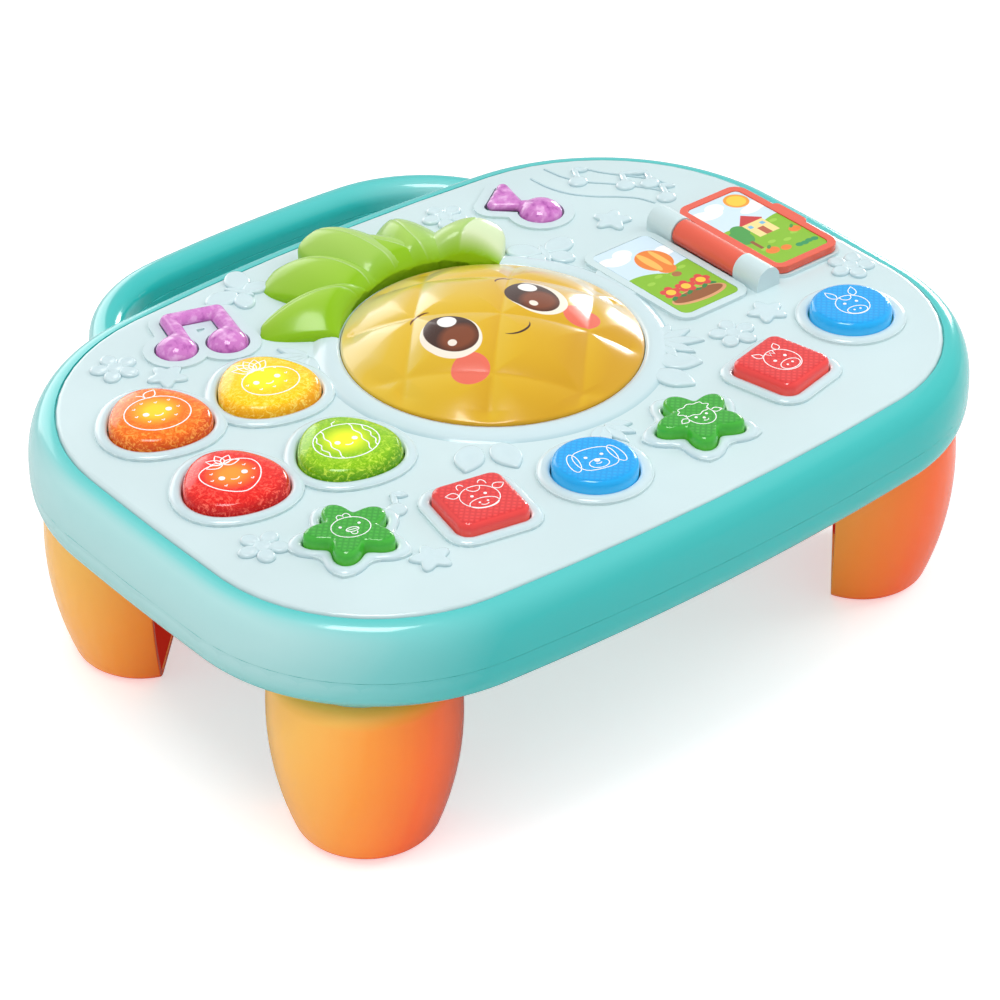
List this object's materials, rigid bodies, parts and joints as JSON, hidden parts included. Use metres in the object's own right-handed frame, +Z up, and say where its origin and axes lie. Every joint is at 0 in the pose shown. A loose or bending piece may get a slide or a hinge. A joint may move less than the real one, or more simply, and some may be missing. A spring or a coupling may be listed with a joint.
{
  "type": "musical activity table",
  "caption": "Low baby activity table on stubby barrel legs: press buttons, fruit and animal keys, a pressable dome with leaves, a hinged picture page and a carry handle.",
  "frame": {"origin": "on the floor, at the centre of the outer box of the table", "axes": "+X to the right of a child who sits in front, +Y from the child's side towards the carry handle, +Z up"},
  "size_m": [0.406, 0.343, 0.1491],
  "materials": {
    "panel_ice": "satin",
    "frame_teal": "gloss",
    "leaf_green": "gloss",
    "dome_gold": "gloss",
    "leg_orange": "gloss",
    "fruit_orange": "translucent gloss",
    "fruit_yellow": "translucent gloss",
    "fruit_red": "translucent gloss",
    "fruit_green": "translucent gloss",
    "key_green": "translucent gloss",
    "key_red": "translucent gloss",
    "key_blue": "translucent gloss",
    "note_purple": "translucent gloss",
    "page_coral": "gloss",
    "picture_print": "satin print",
    "steel": "satin",
    "keypad_rubber": "matte",
    "board_green": "satin",
    "lamp_clear": "clear gloss",
    "switch_black": "matte",
    "speaker_black": "matte",
    "cell_jacket": "gloss",
    "contact_steel": "satin",
    "knob_white": "satin"
  },
  "bodies": {
    "table": {"top_panel": "panel_ice", "rim_frame": "frame_teal", "base_shell": "frame_teal", "crown_leaves": "leaf_green", "leg_front_left": "leg_orange", "leg_front_right": "leg_orange", "leg_back_left": "leg_orange", "leg_back_right": "leg_orange", "picture_left": "picture_print", "picture_right": "picture_print", "hinge_pin": "steel", "fruit_keypad": "keypad_rubber", "animal_keypad": "keypad_rubber", "note_keypad": "keypad_rubber", "main_board": "board_green", "animal_board": "board_green", "note_board": "board_green", "led_lamps": "lamp_clear", "dome_spring": "steel", "dome_switch": "switch_black", "loudspeaker": "speaker_black", "speaker_clamp": "steel", "batteries": "cell_jacket", "battery_contacts": "contact_steel", "battery_door": "frame_teal", "door_screw": "steel", "switch_body": "switch_black", "case_screws": "steel", "board_screws": "steel"},
    "button_orange_cap": {"button_orange": "fruit_orange"},
    "button_pineapple_cap": {"button_pineapple": "fruit_yellow"},
    "button_strawberry_cap": {"button_strawberry": "fruit_red"},
    "button_melon_cap": {"button_melon": "fruit_green"},
    "key_star_left_cap": {"key_star_left": "key_green"},
    "key_square_left_cap": {"key_square_left": "key_red"},
    "key_circle_left_cap": {"key_circle_left": "key_blue"},
    "key_star_right_cap": {"key_star_right": "key_green"},
    "key_square_right_cap": {"key_square_right": "key_red"},
    "key_circle_right_cap": {"key_circle_right": "key_blue"},
    "note_pair_button_cap": {"note_pair_button": "note_purple"},
    "note_single_button_cap": {"note_single_button": "note_purple"},
    "dome": {"pineapple_dome": "dome_gold"},
    "page": {"page_frame": "page_coral", "page_card": "picture_print"},
    "knob": {"switch_knob": "knob_white"}
  },
  "joints": [
    {"name": "orange_press", "type": "slide", "parent": "table", "child": "button_orange_cap", "axis": [0, 0, -1], "range_m": [0, 0.003], "stiffness_N_per_m": 900, "springref_m": -0.0012},
    {"name": "pineapple_press", "type": "slide", "parent": "table", "child": "button_pineapple_cap", "axis": [0, 0, -1], "range_m": [0, 0.003], "stiffness_N_per_m": 900, "springref_m": -0.0012},
    {"name": "strawberry_press", "type": "slide", "parent": "table", "child": "button_strawberry_cap", "axis": [0, 0, -1], "range_m": [0, 0.003], "stiffness_N_per_m": 900, "springref_m": -0.0012},
    {"name": "melon_press", "type": "slide", "parent": "table", "child": "button_melon_cap", "axis": [0, 0, -1], "range_m": [0, 0.003], "stiffness_N_per_m": 900, "springref_m": -0.0012},
    {"name": "star_left_press", "type": "slide", "parent": "table", "child": "key_star_left_cap", "axis": [0, 0, -1], "range_m": [0, 0.003], "stiffness_N_per_m": 900, "springref_m": -0.0012},
    {"name": "square_left_press", "type": "slide", "parent": "table", "child": "key_square_left_cap", "axis": [0, 0, -1], "range_m": [0, 0.003], "stiffness_N_per_m": 900, "springref_m": -0.0012},
    {"name": "circle_left_press", "type": "slide", "parent": "table", "child": "key_circle_left_cap", "axis": [0, 0, -1], "range_m": [0, 0.003], "stiffness_N_per_m": 900, "springref_m": -0.0012},
    {"name": "star_right_press", "type": "slide", "parent": "table", "child": "key_star_right_cap", "axis": [0, 0, -1], "range_m": [0, 0.003], "stiffness_N_per_m": 900, "springref_m": -0.0012},
    {"name": "square_right_press", "type": "slide", "parent": "table", "child": "key_square_right_cap", "axis": [0, 0, -1], "range_m": [0, 0.003], "stiffness_N_per_m": 900, "springref_m": -0.0012},
    {"name": "circle_right_press", "type": "slide", "parent": "table", "child": "key_circle_right_cap", "axis": [0, 0, -1], "range_m": [0, 0.003], "stiffness_N_per_m": 900, "springref_m": -0.0012},
    {"name": "note_pair_press", "type": "slide", "parent": "table", "child": "note_pair_button_cap", "axis": [0, 0, -1], "range_m": [0, 0.003], "stiffness_N_per_m": 900, "springref_m": -0.0012},
    {"name": "note_single_press", "type": "slide", "parent": "table", "child": "note_single_button_cap", "axis": [0, 0, -1], "range_m": [0, 0.003], "stiffness_N_per_m": 900, "springref_m": -0.0012},
    {"name": "dome_press", "type": "slide", "parent": "table", "child": "dome", "axis": [0, 0, -1], "range_m": [0, 0.004], "stiffness_N_per_m": 1200, "springref_m": -0.002, "deforming": ["dome_spring"]},
    {"name": "page_flip", "type": "hinge", "parent": "table", "child": "page", "pos_m": [0.133, -0.013, 0.1319], "axis": [0, -1, 0], "range_deg": [0, 180]},
    {"name": "sound_switch", "type": "slide", "parent": "table", "child": "knob", "axis": [1, 0, 0], "range_m": [0, 0.006]}
  ]
}
